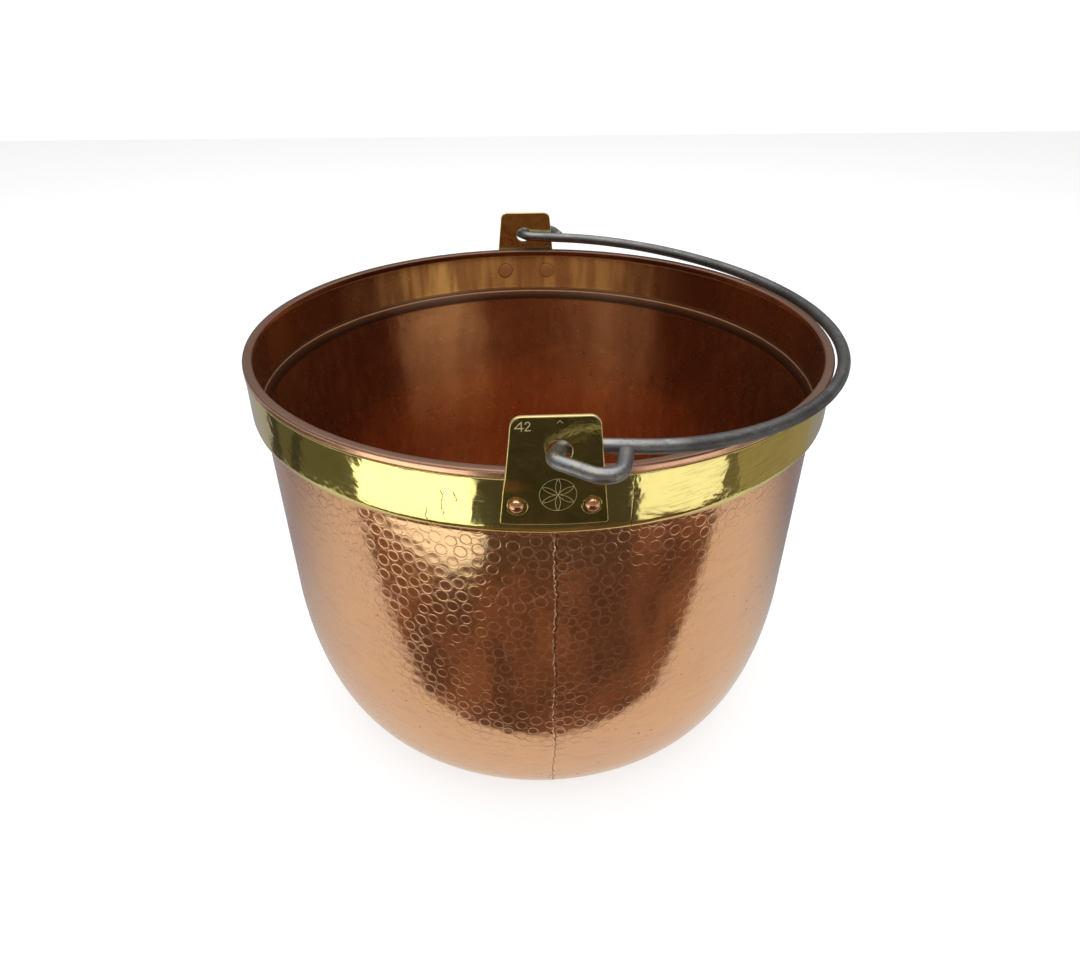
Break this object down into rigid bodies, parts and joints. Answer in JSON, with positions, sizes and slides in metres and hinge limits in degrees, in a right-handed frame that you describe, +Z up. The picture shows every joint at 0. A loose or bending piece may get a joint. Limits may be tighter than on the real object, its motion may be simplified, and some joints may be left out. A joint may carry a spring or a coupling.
{
  "type": "copper cauldron",
  "caption": "Round copper cauldron with a stepped collar under a brass rim band, riveted brass ears and a swinging steel rod bail.",
  "frame": {"origin": "middle of the flat underside of the base, on the surface the cauldron stands on", "axes": "+Z up along the cauldron's axis; the front ear lies towards -Y and the back ear towards +Y; the bail is folded down towards +X"},
  "size_m": [0.4293, 0.4792, 0.3336],
  "materials": {
    "beaten_copper": "hammered and polished copper outside, dull red-brown copper inside",
    "band_brass": "polished yellow brass with fine scratches",
    "ear_brass": "darkened brass with bright worn edges",
    "rivet_copper": "polished copper",
    "bail_steel": "bare grey steel rod, dull"
  },
  "bodies": {
    "kettle": {"kettle_shell": "beaten_copper", "rim_band": "band_brass", "ear_front": "ear_brass", "ear_back": "ear_brass", "rivet_front_left": "rivet_copper", "rivet_front_right": "rivet_copper", "rivet_back_left": "rivet_copper", "rivet_back_right": "rivet_copper"},
    "bail": {"bail": "bail_steel"}
  },
  "joints": [
    {"name": "bail_swing", "type": "hinge", "parent": "kettle", "child": "bail", "pos_m": [-0.002, 0, 0.3133], "axis": [0, -1, 0], "range_deg": [0, 186.8]}
  ]
}
